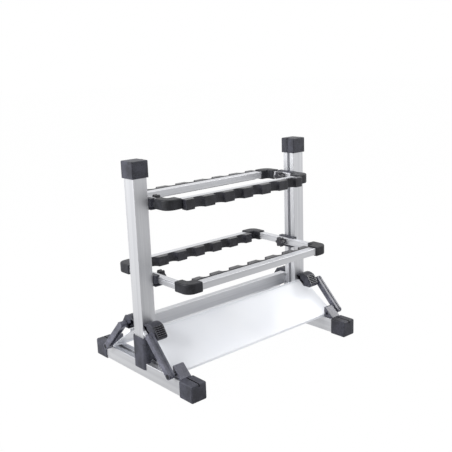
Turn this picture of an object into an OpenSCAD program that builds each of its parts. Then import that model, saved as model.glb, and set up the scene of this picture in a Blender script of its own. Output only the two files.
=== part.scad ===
// Free-standing rack for twelve fishing rods.
// Two aluminium T-slot uprights stand on two foot rails. Two notched frames slide on the uprights.
// X runs along the rack, -Y is its front, Z is up, and the origin is on the floor at its middle.

/* [Aluminium profile] */
// Side of the square T-slot profile
section = 32; // [30:0.5:34]
// Wall of the square profile
profile_wall = 2; // [1.6:0.1:2.4]
// Mouth of the T-slot
slot_mouth = 8; // [7:0.2:9]
// Width of the room behind the mouth
slot_room = 14; // [13:0.2:15]
// Depth of the room behind the mouth
slot_depth = 6; // [5.6:0.1:6.6]
// Wall round the slot's room
slot_wall = 1.5; // [1.2:0.1:1.8]

/* [Rack] */
// Distance between the centres of the uprights
span = 442; // [420:1:480]
// Length of a foot, over its end caps
foot_len = 336; // [320:1:360]
// Height over the top caps
rack_height = 443.5; // [440:0.5:520]

/* [End caps] */
// Length of a foot cap
foot_cap_len = 38.1; // [35:0.1:40]
// Wall of a foot cap
foot_cap_wall = 2.2; // [1.6:0.1:2.4]
// End wall of a foot cap
foot_cap_end = 3; // [2.5:0.1:4]
// Height of a top cap
top_cap_height = 33.5; // [28:0.5:34]
// Wall of a top cap
top_cap_wall = 3.3; // [2.4:0.1:3.6]
// Roof of a top cap
top_cap_roof = 3; // [2.5:0.1:4]
// Width of the grooves in the caps
groove_w = 3; // [2:0.1:4]
// Depth of the grooves in the caps
groove_d = 1.2; // [0.8:0.1:1.4]

/* [Base bracket] */
// Wall of the bracket round an upright's foot
base_wall = 3; // [2.6:0.1:3.6]
// Front-to-back depth of the bracket
base_depth = 43; // [41:0.5:46]
// Height of the bracket above the rail
base_rise = 53.2; // [50:0.2:54]
// Drop of its skirts below the rail's top
base_skirt = 13.8; // [12:0.2:16]
// Radius of its upright corners
base_round = 8; // [5:0.5:9]

/* [Crossbeam] */
// Depth of the crossbeam
beam_depth = 15; // [13:0.5:16]
// Height of the crossbeam
beam_height = 28; // [24:0.5:28]
// Wall of the crossbeam
beam_wall = 1.5; // [1.2:0.1:2]
// Gap between the base brackets and the crossbeam
beam_gap = 3; // [2:0.5:6]
// Thickness of the flange on the plug in its end
plug_flange = 3; // [2.6:0.1:4]
// Length of the plug, flange included
plug_len = 24; // [18:1:36]

/* [Butt plates] */
// Thickness of the sheet
plate_t = 1.5; // [1.2:0.1:2]
// Gap between a plate's lower lip and the foot block
plate_gap = 0.5; // [0.3:0.1:1]
// Height of the lower lip
plate_lip = 4.7; // [4:0.1:6]
// Height of the upper hem
plate_hem = 4.2; // [3.5:0.1:6]
// Top of the front plate above the rails
front_plate_top = 68.7; // [64:0.1:69]
// Top of the rear plate above the rails
rear_plate_top = 61.2; // [56:0.1:61]

/* [Braces] */
// Length of a foot block
block_len = 25.8; // [24:0.2:28]
// Height of a foot block above the rail
block_rise = 22.6; // [21:0.2:24]
// Height of its low end above the rail
block_lip = 2.8; // [2:0.1:4]
// Width of a brace bar
bar_w = 13.2; // [12:0.1:15]
// Depth of a brace bar
bar_depth = 12.5; // [11.5:0.5:14]
// Gap between a bar and the faces of the rail and upright
bar_gap = 2.7; // [2.6:0.1:3.4]
// Wall of the bar's channel
bar_wall = 2.4; // [2:0.1:3]
// Distance of the rear foot pin's line behind a foot block's back
foot_pin_inset = 4.5; // [4:0.1:6]
// Height of the foot pins' line above the rail's top
foot_pin_rise = 4.7; // [4.6:0.1:6]
// Shift of the front braces' pins outwards from that line
front_shift = 6; // [3:0.1:6]
// Shift of the rear braces' pins outwards from that line
rear_shift = -0.4; // [-0.4:0.1:4]
// Setback of the front latches' pins along their bars
front_setback = 5; // [0:0.5:6]
// Radius of the foot pin
foot_pin_r = 3; // [2.5:0.1:3]
// Distance of the latch pins' line from the upright's face
latch_reach = 29.4; // [28:0.2:32]
// Height of the latch pins' line above the rail's top
latch_rise = 70.3; // [70:0.2:74]
// Radius of the latch pin
latch_pin_r = 2.6; // [2.4:0.1:2.8]
// Width of a latch and of a foot block
latch_w = 26; // [24:0.5:27]
// Distance of a catch from either side of the latch
catch_inset = 4; // [3:0.1:5]
// Height of the catch
catch_h = 10; // [9:0.1:10.4]
// Depth of the catch
catch_d = 10.5; // [9:0.5:11]

/* [Frames] */
// Height of the middle of the lower frame
lower_level = 202.75; // [195:0.25:215]
// Drop from the top of the rack to the middle of the upper frame
upper_drop = 84.75; // [78:0.25:100]
// Distance from the middle to a long rail's outer face, lower frame
lower_half = 119; // [114:0.5:124]
// Distance from the middle to a long rail's outer face, upper frame
upper_half = 67; // [64:0.5:74]
// Depth of a long rail
tube_depth = 19.5; // [18:0.5:21]
// Height of a long rail and of an end tube
tube_height = 14.5; // [14:0.5:16]
// Width of an end tube
end_tube_w = 14; // [13:0.5:15]
// Wall of the frame tubes
tube_wall = 1.4; // [1.2:0.1:1.6]
// Gap between an elbow and the upright
frame_gap = 4.3; // [4:0.1:6]
// Wall of an elbow
elbow_wall = 3.2; // [2.4:0.1:3.2]
// Length of an elbow along the long rail
elbow_len = 37.7; // [36:0.1:40]
// Length of an elbow along the end tube
elbow_reach = 43; // [38:0.5:43]
// Outer corner radius of an elbow
elbow_round = 19; // [12:0.5:19]

/* [Notches] */
// Number of notches in a strip
notches = 6; // [4:1:6]
// Distance between notches
notch_pitch = 51.7; // [44:0.1:53]
// Radius of a notch
notch_r = 12.5; // [10:0.5:13]
// Depth of a strip, from the rail to the tips
strip_depth = 15; // [14.5:0.5:17]
// Height of a strip
strip_height = 21; // [18:0.5:22]
// Rise of a strip's top above the rail's top
strip_rise = 1.2; // [-1.5:0.1:1.5]

/* [Slides and knobs] */
// Length of a slide bracket along the end tube
slide_len = 46; // [42:1:48]
// Height of a slide bracket
slide_height = 22.5; // [22:0.5:24]
// Thickness of its lower flange
slide_lip = 2; // [1.6:0.1:2.2]
// Thickness of its upper flange
slide_roof = 2.5; // [2:0.1:3]
// Reach of its upper flange over the end tube
slide_reach = 4; // [3:0.5:12]
// Thickness of the two ribs in its lower part
slide_rib = 7; // [5:0.5:8]
// Length of the clamp nut
nut_len = 18; // [14:1:22]
// Radius of the clamp stud
stud_r = 3; // [2.5:0.1:3]
// Overall radius of a knob
knob_r = 12; // [11:0.5:14]
// Thickness of a knob's star
knob_t = 11.5; // [9:0.5:13]
// Number of lobes on a knob
knob_lobes = 6; // [5:1:8]

/* [Hidden] */
$fn = 48;

// Clearances: a push fit, a shaft in its bore, a sliding face, a gap between moving pieces, a drilled hole
push = 0.1;
run = 0.05;
slide = 0.3;
clear = 0.4;
drill = 0.1;
over = 1;

// Colours
silver = [0.80, 0.81, 0.83];
charcoal = [0.17, 0.17, 0.19];
white = [0.94, 0.95, 0.97];
steel = [0.62, 0.63, 0.65];
ash = [0.42, 0.42, 0.44];

// Levels and faces of the left side
rail_bottom = foot_cap_wall;
rail_top = rail_bottom + section;
face_x = -(span + section) / 2;
inner_x = face_x + section;
axis_x = -span / 2;
face_y = section / 2;
rail_half = foot_len / 2 - foot_cap_end;
upright_top = rack_height - top_cap_roof;
room_back = section / 2 - profile_wall - slot_depth;
base_top = rail_top + base_rise;

// Crossbeam behind the uprights' rear faces
beam_y = face_y;
beam_z = base_top + beam_gap;
beam_end = -inner_x - plug_flange;

// Foot block of the front left brace, and the plate's lower lip behind it
block_front = -(foot_len / 2 - foot_cap_len - push);
block_back = block_front + block_len;
block_x = axis_x - latch_w / 2 + 0.5;
block_w = latch_w - 1;
plate_foot = -block_back - plate_gap;

// Braces: the line between foot and head that the pins are set from, and the way outwards from it
foot_line = [block_back - foot_pin_inset, rail_top + foot_pin_rise];
latch_line = [-(face_y + latch_reach), rail_top + latch_rise];
along = (latch_line - foot_line) / norm(latch_line - foot_line);
outwards = [-along[1], along[0]];
bar_tilt = atan2(along[1], along[0]);
bar_x = face_x - bar_gap - bar_w;
bar_eye = bar_depth / 2 + 0.5;
pin_head_r = foot_pin_r + 1.6;
pin_head_t = 1.8;
latch_x = face_x + 1;
catch_top = latch_line[1] + catch_h - push;
catch_x = latch_x + catch_inset;
catch_w = latch_w - 2 * catch_inset;
catch_seat = catch_d + 2 * clear;

// Side view of a latch, about the line's upper end
pad_low = [-17.5, -4.9];
pad = [12.1, 17.8];
pad_grooves = 6;
latch_chin = 11.1;
latch_heel = [8, 1];
beak_centre = [10.5, -6];
beak_r = 25;

// Frames: outer end, end tube and clamp stud of the left side
upper_level = rack_height - upper_drop;
frame_end = inner_x + frame_gap;
end_tube_x = frame_end + elbow_wall;
end_tube_in = end_tube_x + end_tube_w;
elbow_end_w = end_tube_w + 2 * elbow_wall;
tube_stop = frame_end + elbow_end_w - 1.5;
strip_half = -(frame_end + elbow_len) - push;
knob_x = end_tube_in + 0.3;
nut_t = slot_depth - 2 * slide;
nut_w = slot_room - 2 * slide;
screw_up = elbow_wall + tube_wall + 2;
screw_inset = 8;

// Screws
base_screw_r = 2.5;
small_screw_r = 1.5;
small_head_r = 2.6;
small_head_t = 1.6;
base_screw_inset = 14.5;
base_screw_z = [rail_top + base_screw_inset, base_top - base_screw_inset];
skirt_screw_y = [-10, 10];
skirt_screw_z = rail_top - base_skirt / 2;
plug_screw_y = face_y - 4.8;
plug_screw_z = [beam_z + 5, beam_z + beam_height - 5];
catch_screw_x = [catch_x + 4, catch_x + catch_w - 4];
catch_screw_z = catch_top - catch_h / 2;
catch_sink = 2.2;

// Places children on the left or the right, at the front or the rear
module side(right) {
    mirror([right ? 1 : 0, 0, 0]) children();
}

module end(rear) {
    mirror([0, rear ? 1 : 0, 0]) children();
}

// Extrudes a shape that is drawn in the YZ plane along X
module along_x(x, length) {
    translate([x, 0, 0]) rotate([90, 0, 90]) linear_extrude(length) children();
}

// Round rod along X
module rod_x(x, length, y, z, r) {
    translate([x, y, z]) rotate([0, 90, 0]) cylinder(r = r, h = length);
}

// Rectangle with round corners
module round_rect(x, y, r) {
    translate([r - x / 2, -y / 2]) square([x - 2 * r, y]);
    translate([-x / 2, r - y / 2]) square([x, y - 2 * r]);
    for (sx = [-1, 1], sy = [-1, 1])
        translate([sx * (x / 2 - r), sy * (y / 2 - r)]) circle(r);
}

// Square tube with a T-slot in its +Y face
module slot_profile() {
    wide = slot_room + 2 * slot_wall;
    difference() {
        square(section, center = true);
        difference() {
            square(section - 2 * profile_wall, center = true);
            translate([-wide / 2, room_back - slot_wall]) square([wide, section]);
        }
        translate([-slot_room / 2, room_back]) square([slot_room, slot_depth]);
        translate([-slot_mouth / 2, room_back]) square([slot_mouth, section]);
    }
}

// Screw hole in a profile's inner face
module inner_hole(y, z) {
    rod_x(inner_x - profile_wall - over, profile_wall + 2 * over, y, z, small_screw_r + drill);
}

// Foot rail along Y, slot up, drilled for the bracket's screws
module rail() {
    color(silver) difference() {
        translate([axis_x, rail_half, rail_bottom + section / 2])
            rotate([90, 0, 0]) linear_extrude(2 * rail_half) slot_profile();
        for (y = skirt_screw_y)
            inner_hole(y, skirt_screw_z);
    }
}

// Upright, slot inwards, drilled for the catches and the beam's plug
module upright() {
    color(silver) difference() {
        translate([axis_x, 0, rail_top])
            rotate([0, 0, -90]) linear_extrude(upright_top - rail_top) slot_profile();
        for (z = plug_screw_z)
            inner_hole(plug_screw_y, z);
        for (x = catch_screw_x)
            translate([x, -section, catch_screw_z])
                rotate([-90, 0, 0]) cylinder(r = small_screw_r + drill, h = 2 * section);
    }
}

// Push-on cap of a foot's front end
module foot_cap() {
    size = section + 2 * foot_cap_wall;
    front = -foot_len / 2;
    bevel = 2.5;
    groove_end = 6;
    color(charcoal) difference() {
        translate([axis_x, front + foot_cap_len / 2, 0])
            linear_extrude(size) round_rect(size, foot_cap_len, 3);
        translate([face_x - push, front + foot_cap_end, rail_bottom])
            cube([section + 2 * push, foot_cap_len, section + push]);
        translate([axis_x - groove_w / 2, front - over, size - groove_d])
            cube([groove_w, foot_cap_len + 2 * over, 2 * groove_d]);
        translate([axis_x - groove_w / 2, front - over, size - groove_end])
            cube([groove_w, over + groove_d, groove_end + over]);
        for (s = [-1, 1])
            translate([axis_x + s * size / 2, 0, 0]) rotate([0, 45, 0])
                cube([bevel * sqrt(2), foot_len + 2, bevel * sqrt(2)], center = true);
        translate([axis_x, front, 0]) rotate([45, 0, 0])
            cube([2 * size, bevel * sqrt(2), bevel * sqrt(2)], center = true);
    }
}

// Push-on cap of an upright
module top_cap() {
    size = section + 2 * top_cap_wall;
    bottom = rack_height - top_cap_height;
    bevel = 1.5;
    color(charcoal) difference() {
        translate([axis_x, 0, bottom]) linear_extrude(top_cap_height) round_rect(size, size, 2.5);
        translate([face_x - push, -face_y - push, bottom - over])
            cube([section + 2 * push, section + 2 * push, top_cap_height - top_cap_roof + over]);
        translate([axis_x + size / 2 - groove_d, -groove_w / 2, bottom - over])
            cube([2 * groove_d, groove_w, top_cap_height + 2 * over]);
        for (a = [0, 90, 180, 270])
            translate([axis_x, 0, rack_height]) rotate([0, 0, a])
                translate([size / 2, 0, 0]) rotate([0, 45, 0])
                    cube([bevel * sqrt(2), 2 * size, bevel * sqrt(2)], center = true);
    }
}

// Bracket round the foot of an upright, with skirts over the sides of the rail
module base_bracket() {
    arch_r = 6;
    color(charcoal) difference() {
        translate([axis_x, 0, rail_top - base_skirt])
            linear_extrude(base_rise + base_skirt)
                round_rect(section + 2 * base_wall, base_depth, base_round);
        translate([face_x - push, -face_y - push, rail_top - over])
            cube([section + 2 * push, section + 2 * push, base_rise + 2 * over]);
        translate([face_x - push, -base_depth, rail_top - base_skirt - over])
            cube([section + 2 * push, 2 * base_depth, base_skirt + over]);
        translate([axis_x, base_depth, rail_top]) rotate([90, 0, 0]) cylinder(r = arch_r, h = 2 * base_depth);
        for (z = base_screw_z)
            rod_x(inner_x - over, base_wall + 2 * over, 0, z, base_screw_r + drill);
        for (y = skirt_screw_y)
            rod_x(inner_x - over, base_wall + 2 * over, y, skirt_screw_z, small_screw_r + drill);
    }
}

// Nut bar in an upright's slot, behind the base bracket
module base_slot_nut() {
    low = base_screw_z[0] - base_screw_inset / 2;
    color(steel) difference() {
        translate([axis_x + room_back + slide, -nut_w / 2, low])
            cube([nut_t, nut_w, base_screw_z[1] + base_screw_inset / 2 - low]);
        for (z = base_screw_z)
            rod_x(axis_x, section, 0, z, base_screw_r + run);
    }
}

// Flat rectangular tube behind the uprights
module crossbeam() {
    color(silver) difference() {
        translate([-beam_end, beam_y, beam_z]) cube([2 * beam_end, beam_depth, beam_height]);
        translate([-beam_end - over, beam_y + beam_wall, beam_z + beam_wall])
            cube([2 * (beam_end + over), beam_depth - 2 * beam_wall, beam_height - 2 * beam_wall]);
    }
}

// Plug in one end of the crossbeam, its flange screwed to the inner face of an upright
module beam_plug() {
    ear = plug_screw_y - small_head_r - 1.2;
    inset = beam_wall + push;
    color(silver) difference() {
        union() {
            translate([inner_x, ear, beam_z]) cube([plug_flange, beam_y + beam_depth - ear, beam_height]);
            translate([inner_x, beam_y + inset, beam_z + inset])
                cube([plug_len, beam_depth - 2 * inset, beam_height - 2 * inset]);
        }
        for (z = plug_screw_z)
            rod_x(inner_x - over, plug_flange + 2 * over, plug_screw_y, z, small_screw_r + drill);
    }
}

// Sheet folded at a lower lip and an upper hem; back is the face that its hem leans on
module butt_plate(back, top) {
    hem_front = -(back + plate_t);
    bend_low = rail_top + plate_lip;
    bend_high = top - plate_hem;
    slope = (bend_high - bend_low) / (plate_foot + hem_front);
    drop = plate_t * sqrt(1 + slope * slope) - plate_t * slope;
    color(white) along_x(face_x, span + section)
        polygon([[-plate_foot, rail_top], [-plate_foot, bend_low], [hem_front, bend_high], [hem_front, top],
            [-back, top], [-back, bend_high - drop], [plate_t - plate_foot, bend_low - drop],
            [plate_t - plate_foot, rail_top]]);
}

// Pins of a front or rear brace
function foot_pin(rear) = foot_line + (rear ? rear_shift : front_shift) * outwards;
function latch_pin(rear) = rear ? latch_line + rear_shift * outwards
    : latch_line + front_shift * outwards - front_setback * along;

// Block behind a foot cap that carries the brace's foot pin, keyed into the rail's slot
module foot_block(rear) {
    pin = foot_pin(rear);
    top = rail_top + block_rise;
    nose = 3.5;
    key_top = rail_top - profile_wall;
    color(charcoal) difference() {
        union() {
            along_x(block_x, block_w) polygon([[block_front, rail_top], [block_front, rail_top + block_lip],
                [block_back - nose, top], [block_back, top], [block_back, rail_top]]);
            translate([axis_x - slot_mouth / 2 + slide, block_front, key_top - over])
                cube([slot_mouth - 2 * slide, block_len, profile_wall + 2 * over]);
            translate([axis_x - nut_w / 2, block_front, key_top - slot_depth + slide])
                cube([nut_w, block_len, nut_t]);
        }
        rod_x(block_x - over, block_w + 2 * over, pin[0], pin[1], foot_pin_r + run);
    }
}

// Pin through a brace bar and its foot block, its head sunk in the bar, with a collar between the two
module brace_pin(rear) {
    pin = foot_pin(rear);
    head_x = bar_x + 0.2;
    collar_x = bar_x + bar_w + 0.2;
    color(steel) {
        rod_x(head_x, block_x + block_w - head_x, pin[0], pin[1], foot_pin_r);
        rod_x(head_x, pin_head_t, pin[0], pin[1], pin_head_r);
        rod_x(collar_x, block_x - collar_x, pin[0], pin[1], foot_pin_r + 1);
    }
}

// Side view of a brace bar: straight edges between two round eyes
module bar_side(foot, head) {
    translate(foot) circle(bar_eye, $fn = 64);
    translate(head) circle(bar_eye, $fn = 64);
    translate(foot) rotate(bar_tilt)
        translate([0, -bar_depth / 2]) square([norm(head - foot), bar_depth]);
}

// Channel bar with an eye at either end and the latch's pin
module brace_bar(rear) {
    foot = foot_pin(rear);
    head = latch_pin(rear);
    length = norm(head - foot);
    hollow = bar_eye + 3;
    groove = 1.4;
    boss_x = bar_x + bar_w - over;
    color(ash) {
        difference() {
            along_x(bar_x, bar_w) bar_side(foot, head);
            translate([bar_x, foot[0], foot[1]]) rotate([bar_tilt, 0, 0]) {
                translate([bar_w / 3, -bar_depth, bar_depth / 2 - groove])
                    cube([bar_w / 3, length + 2 * bar_depth, bar_depth]);
                translate([bar_wall, hollow, -bar_depth / 2 - over])
                    cube([bar_w - 2 * bar_wall, length - 2 * hollow, bar_depth + over - 2 * bar_wall]);
            }
            rod_x(bar_x - over, bar_w + 2 * over, foot[0], foot[1], foot_pin_r + run);
            rod_x(bar_x - over, pin_head_t + 0.4 + over, foot[0], foot[1], pin_head_r + clear);
        }
        rod_x(boss_x, latch_x - slide - boss_x, head[0], head[1], latch_pin_r + 1.2);
        rod_x(boss_x, latch_x + latch_w - 0.5 - boss_x, head[0], head[1], latch_pin_r);
    }
}

// Side view of a latch, which hooks over the catch: its round beak, or the block under its pad
module latch_shape(block) {
    beak_y = latch_reach - clear;
    catch_y = latch_reach - catch_seat;
    far = 60;
    difference() {
        if (block)
            polygon([pad_low - [over, 0], pad_low + pad / 2 - [over, 0], beak_centre,
                [pad_low[0] + 6, -latch_chin - over]]);
        else
            translate(beak_centre) circle(beak_r, $fn = 96);
        translate([catch_y, catch_h - far]) square([far, far + clear - push]);
        translate([beak_y, -far]) square([far, 2 * far]);
        translate([latch_heel[0], -far]) square([far, far - latch_heel[1]]);
        translate([-far, -far - latch_chin]) square([2 * far, far]);
        translate(pad_low) rotate(atan2(pad[1], pad[0])) translate([-far, 0]) square([3 * far, far]);
    }
}

// Ribbed latch on the head of a brace
module latch(rear) {
    pin = latch_pin(rear);
    margin = 3;
    groove_w = 1.4;
    groove_d = 0.9;
    color(charcoal) difference() {
        union() {
            along_x(latch_x, latch_w) translate(latch_line) latch_shape(true);
            along_x(latch_x, latch_w) translate(latch_line) latch_shape(false);
        }
        rod_x(latch_x - over, latch_w + 2 * over, pin[0], pin[1], latch_pin_r + run);
        translate([latch_x, latch_line[0] + pad_low[0], latch_line[1] + pad_low[1]])
            rotate([atan2(pad[1], pad[0]), 0, 0])
                for (i = [1:pad_grooves])
                    translate([margin, i * norm(pad) / (pad_grooves + 1) - groove_w / 2, -groove_d])
                        cube([latch_w - 2 * margin, groove_w, groove_d + over]);
    }
}

// Catch on the front face of an upright, under the latch's beak
module latch_catch() {
    color(charcoal) difference() {
        translate([catch_x, -face_y - catch_d, catch_top - catch_h]) cube([catch_w, catch_d, catch_h]);
        for (x = catch_screw_x)
            translate([x, -face_y - catch_d - over, catch_screw_z]) rotate([-90, 0, 0]) {
                cylinder(r = small_screw_r + drill, h = catch_d + 2 * over);
                cylinder(r = small_head_r + push, h = catch_sink + over);
            }
    }
}

// Screw with a flat round head under the origin and its shank up along Z
module screw(r, head_r, head_t, length) {
    color(steel) {
        translate([0, 0, -head_t]) cylinder(r = head_r, h = head_t);
        translate([0, 0, -head_t / 2]) cylinder(r = r, h = length + head_t / 2);
    }
}

// Screws of one side: bracket to nut bar, skirt to rail, beam plug to upright, catches to upright
module base_screw_set() {
    for (z = base_screw_z)
        translate([inner_x + base_wall, 0, z]) rotate([0, -90, 0])
            screw(base_screw_r, 4.75, 2.7, base_wall + section / 2 - room_back - 2 * slide);
    for (y = skirt_screw_y)
        translate([inner_x + base_wall, y, skirt_screw_z]) rotate([0, -90, 0])
            screw(small_screw_r, small_head_r, small_head_t, base_wall + profile_wall + 2);
    for (z = plug_screw_z)
        translate([inner_x + plug_flange, plug_screw_y, z]) rotate([0, -90, 0])
            screw(small_screw_r, small_head_r, small_head_t, plug_flange + profile_wall + 2);
    for (rear = [false, true], x = catch_screw_x)
        end(rear) translate([x, catch_sink - face_y - catch_d, catch_screw_z]) rotate([-90, 0, 0])
            screw(small_screw_r, small_head_r, small_head_t, catch_d + profile_wall);
}

// Long rail of a frame: a tube with a groove on the strip's side, dir 1 when that is the outer one
module long_rail(level, half, dir) {
    low = level - tube_height / 2;
    groove_y = dir > 0 ? -half - over : tube_depth - half - tube_wall;
    groove = strip_key() + 2 * push;
    color(silver) difference() {
        translate([-tube_end(), -half, low]) cube([2 * tube_end(), tube_depth, tube_height]);
        translate([-tube_end() - over, tube_wall - half, low + tube_wall])
            cube([2 * (tube_end() + over), tube_depth - 2 * tube_wall, tube_height - 2 * tube_wall]);
        translate([-tube_end() - over, groove_y, level - groove / 2])
            cube([2 * (tube_end() + over), tube_wall + over, groove]);
        for (s = [-1, 1])
            translate([s * rail_screw_x(), tube_depth / 2 - half, low - over])
                cylinder(r = small_screw_r + drill, h = tube_wall + 2 * over);
    }
}
function tube_end() = -tube_stop;
function strip_key() = 3;
function rail_screw_x() = -(tube_stop + 9);
function end_screw_y(half) = half + elbow_wall - elbow_reach + screw_inset;

// End tube of a frame, drilled for the clamp stud and the elbows' screws
module end_tube(level, half) {
    low = level - tube_height / 2;
    reach = half + elbow_wall - elbow_reach / 2;
    color(silver) difference() {
        translate([end_tube_x, -reach, low]) cube([end_tube_w, 2 * reach, tube_height]);
        translate([end_tube_x + tube_wall, -reach - over, low + tube_wall])
            cube([end_tube_w - 2 * tube_wall, 2 * (reach + over), tube_height - 2 * tube_wall]);
        rod_x(end_tube_x - over, end_tube_w + 2 * over, 0, level, stud_r + slide);
        for (s = [-1, 1])
            translate([end_tube_x + end_tube_w / 2, s * end_screw_y(half), low - over])
                cylinder(r = small_screw_r + drill, h = tube_wall + 2 * over);
    }
}

// Plan of the front left elbow: two sleeves, a round outer corner and a small fillet inside
module elbow_plan(half) {
    y = -half - elbow_wall;
    deep = tube_depth + 2 * elbow_wall;
    fillet = 5;
    difference() {
        union() {
            translate([frame_end, y]) square([elbow_len, deep]);
            translate([frame_end, y]) square([elbow_end_w, elbow_reach]);
            translate([frame_end + elbow_end_w, y + deep]) square(fillet);
        }
        difference() {
            translate([frame_end, y]) square(elbow_round);
            translate([frame_end + elbow_round, y + elbow_round]) circle(elbow_round, $fn = 96);
        }
        translate([frame_end + elbow_end_w + fillet, y + deep + fillet]) circle(fillet);
    }
}

// Front left elbow of a frame
module elbow(level, half) {
    low = level - tube_height / 2;
    reach = half + elbow_wall - elbow_reach / 2;
    color(charcoal) difference() {
        translate([0, 0, low - elbow_wall]) linear_extrude(tube_height + 2 * elbow_wall) elbow_plan(half);
        translate([tube_stop, -half - push, low - push])
            cube([elbow_len, tube_depth + 2 * push, tube_height + 2 * push]);
        translate([end_tube_x - push, -reach, low - push])
            cube([end_tube_w + 2 * push, elbow_reach, tube_height + 2 * push]);
        translate([-rail_screw_x(), tube_depth / 2 - half, low - elbow_wall - over])
            cylinder(r = small_screw_r + drill, h = elbow_wall + 2 * over);
        translate([end_tube_x + end_tube_w / 2, -end_screw_y(half), low - elbow_wall - over])
            cylinder(r = small_screw_r + drill, h = elbow_wall + 2 * over);
    }
}

// Screws that hold the elbows to the tubes from below
module frame_screws(level, half) {
    low = level - tube_height / 2 - elbow_wall;
    for (right = [false, true], rear = [false, true])
        side(right) end(rear) {
            translate([-rail_screw_x(), tube_depth / 2 - half, low])
                screw(small_screw_r, small_head_r, small_head_t, screw_up);
            translate([end_tube_x + end_tube_w / 2, -end_screw_y(half), low])
                screw(small_screw_r, small_head_r, small_head_t, screw_up);
        }
}

// Notched strip along a front rail: dir 1 faces outwards and dir -1 inwards
module strip(level, half, dir) {
    root = dir > 0 ? -half : tube_depth - half;
    top = level + tube_height / 2 + strip_rise;
    barb = strip_key() + 2;
    color(charcoal) translate([0, root, 0]) mirror([0, dir > 0 ? 0 : 1, 0]) {
        difference() {
            translate([-strip_half, -strip_depth, top - strip_height])
                cube([2 * strip_half, strip_depth, strip_height]);
            for (i = [0:notches - 1])
                translate([(i - (notches - 1) / 2) * notch_pitch, -strip_depth, top - strip_height - over])
                    cylinder(r = notch_r, h = strip_height + 2 * over, $fn = 64);
        }
        translate([-strip_half, -over, level - strip_key() / 2])
            cube([2 * strip_half, tube_wall + 2 * over, strip_key()]);
        translate([-strip_half, tube_wall + push, level - barb / 2]) cube([2 * strip_half, over, barb]);
    }
}

// Channel bracket between an upright and an end tube, keyed into the upright's slot
module slide_bracket(level) {
    tube_low = level - tube_height / 2;
    roof_z = tube_low + tube_height;
    low = roof_z + slide_roof - slide_height;
    plate_x = inner_x + slide - push;
    plate_w = end_tube_x - plate_x;
    shelf = plate_w + end_tube_w;
    open_y = slide_len / 4 - slide_rib / 2;
    open_z = tube_low - low - slide_lip;
    color(charcoal) difference() {
        union() {
            translate([plate_x, -slide_len / 2, low]) cube([plate_w, slide_len, slide_height]);
            translate([plate_x, -slide_len / 2, roof_z]) cube([plate_w + slide_reach, slide_len, slide_roof]);
            translate([plate_x, -slide_len / 2, low]) cube([shelf - 4, slide_len, slide_lip]);
            for (s = [-1, 1])
                translate([plate_x, s * slide_len / 4 - slide_rib / 2, low])
                    cube([shelf - 5, slide_rib, tube_low - low]);
            translate([inner_x - profile_wall + slide, slide - slot_mouth / 2, low])
                cube([profile_wall + 1, slot_mouth - 2 * slide, slide_height]);
        }
        translate([inner_x - section, -open_y, low + slide_lip]) cube([2 * section, 2 * open_y, open_z]);
        for (rear = [false, true])
            end(rear) translate([inner_x - section, open_y + slide_rib, low + slide_lip])
                cube([2 * section, slide_len, open_z]);
        rod_x(inner_x - section, 2 * section, 0, level, stud_r + slide);
    }
}

// Nut of a clamp knob, in the upright's slot
module clamp_nut(level) {
    color(steel) difference() {
        translate([axis_x + room_back + slide, -nut_w / 2, level - nut_len / 2])
            cube([nut_t, nut_w, nut_len]);
        rod_x(axis_x, section, 0, level, stud_r + run);
    }
}

// Star knob with its stud
module knob(level) {
    lobe = knob_r * 0.3;
    hub = 3.7;
    stud_x = axis_x + room_back + slide;
    color(charcoal) {
        rod_x(knob_x, hub + over, 0, level, knob_r * 0.58);
        rod_x(stud_x, knob_x - stud_x + over, 0, level, stud_r);
        along_x(knob_x + hub, knob_t) translate([0, level]) {
            circle(knob_r - lobe * 0.8);
            for (i = [0:knob_lobes - 1])
                rotate(i * 360 / knob_lobes) translate([knob_r - lobe, 0]) circle(lobe);
        }
        translate([knob_x + hub + knob_t - over, 0, level]) rotate([0, 90, 0])
            cylinder(r1 = knob_r * 0.62, r2 = knob_r * 0.5, h = 2.4);
    }
}

rail();  // rail_left
side(true) rail();  // rail_right
upright();  // upright_left
side(true) upright();  // upright_right
top_cap();  // top_cap_left
side(true) top_cap();  // top_cap_right
foot_cap();  // foot_cap_front_left
side(true) foot_cap();  // foot_cap_front_right
end(true) foot_cap();  // foot_cap_rear_left
side(true) end(true) foot_cap();  // foot_cap_rear_right
base_bracket();  // base_bracket_left
side(true) base_bracket();  // base_bracket_right
crossbeam();
beam_plug();  // beam_plug_left
side(true) beam_plug();  // beam_plug_right
butt_plate(face_y, rail_top + front_plate_top);  // butt_plate_front
end(true) butt_plate(beam_y + beam_depth, rail_top + rear_plate_top);  // butt_plate_rear
for (right = [false, true]) side(right) base_screw_set();  // base_screws
for (right = [false, true]) side(right) base_slot_nut();  // base_slot_nuts
for (right = [false, true], rear = [false, true]) side(right) end(rear) latch_catch();  // latch_catches
for (right = [false, true], rear = [false, true])  // brace_pins
        side(right) end(rear) brace_pin(rear);
foot_block(false);  // foot_block_front_left
side(true) foot_block(false);  // foot_block_front_right
end(true) foot_block(true);  // foot_block_rear_left
side(true) end(true) foot_block(true);  // foot_block_rear_right
brace_bar(false);  // brace_bar_front_left
side(true) brace_bar(false);  // brace_bar_front_right
end(true) brace_bar(true);  // brace_bar_rear_left
side(true) end(true) brace_bar(true);  // brace_bar_rear_right
latch(false);  // latch_front_left
side(true) latch(false);  // latch_front_right
end(true) latch(true);  // latch_rear_left
side(true) end(true) latch(true);  // latch_rear_right
long_rail(lower_level, lower_half, -1);  // lower_rail_front
end(true) long_rail(lower_level, lower_half, -1);  // lower_rail_rear
end_tube(lower_level, lower_half);  // lower_end_left
side(true) end_tube(lower_level, lower_half);  // lower_end_right
for (right = [false, true], rear = [false, true]) side(right) end(rear) elbow(lower_level, lower_half);  // lower_elbows
strip(lower_level, lower_half, -1);  // lower_strip_front
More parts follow.
